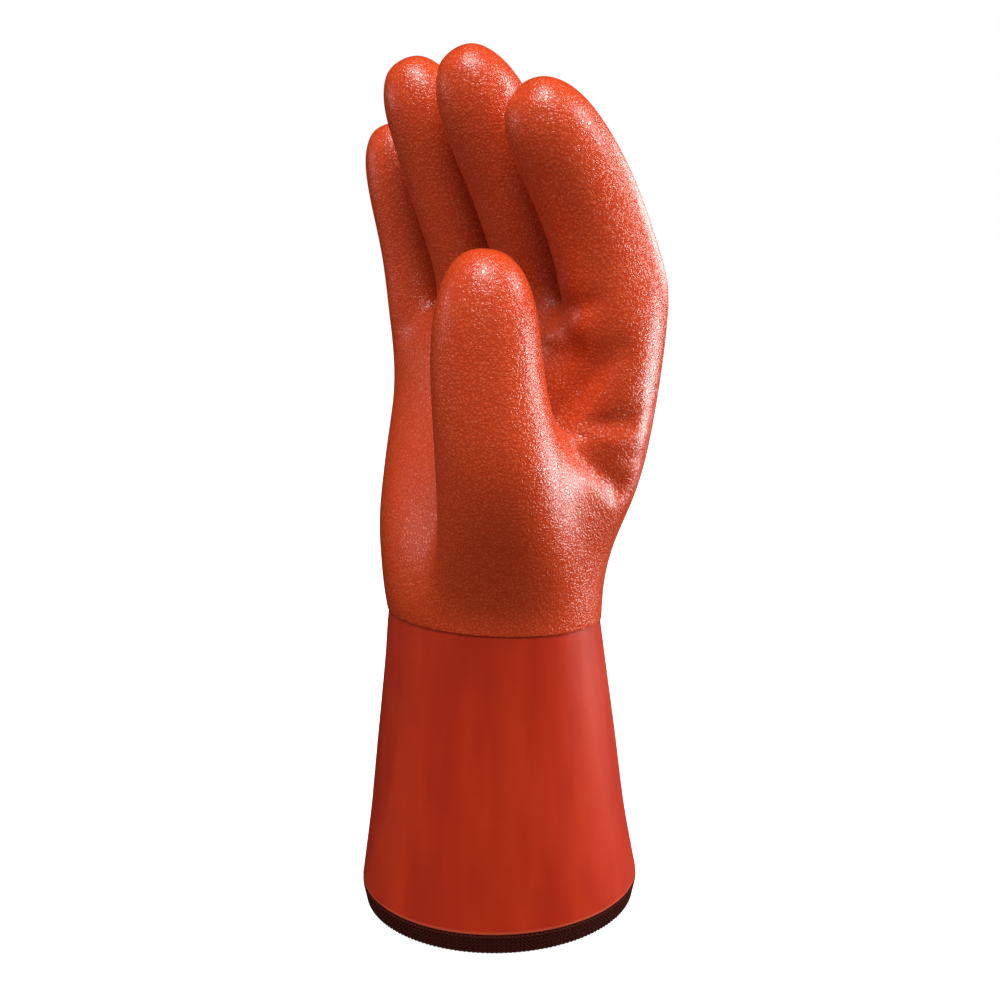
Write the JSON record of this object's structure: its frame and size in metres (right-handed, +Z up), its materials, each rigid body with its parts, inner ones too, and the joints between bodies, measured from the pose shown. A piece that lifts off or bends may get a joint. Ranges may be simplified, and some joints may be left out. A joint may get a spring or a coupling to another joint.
{
  "type": "pvc coated work glove",
  "caption": "Right-hand insulated work glove, PVC dipped, with a rough-grip hand and a smooth flared gauntlet cuff, standing on its open cuff",
  "frame": {"origin": "the centre of the footprint's bounding box, on the floor plane under the hem", "axes": "+Z up the arm to the fingertips, +X to the thumb's side, +Y to the back of the hand; the palm faces -Y"},
  "size_m": [0.1224, 0.1048, 0.296],
  "materials": {
    "hand": "orange PVC dipped over a knitted liner, rough crinkled grip finish, semi-gloss grain tips",
    "cuff": "smooth semi-gloss orange-red PVC coat over the same liner",
    "hem": "dark brown knitted liner edge, matte"
  },
  "bodies": {
    "root": {"hand": "hand", "cuff": "cuff", "hem": "hem"}
  },
  "joints": []
}
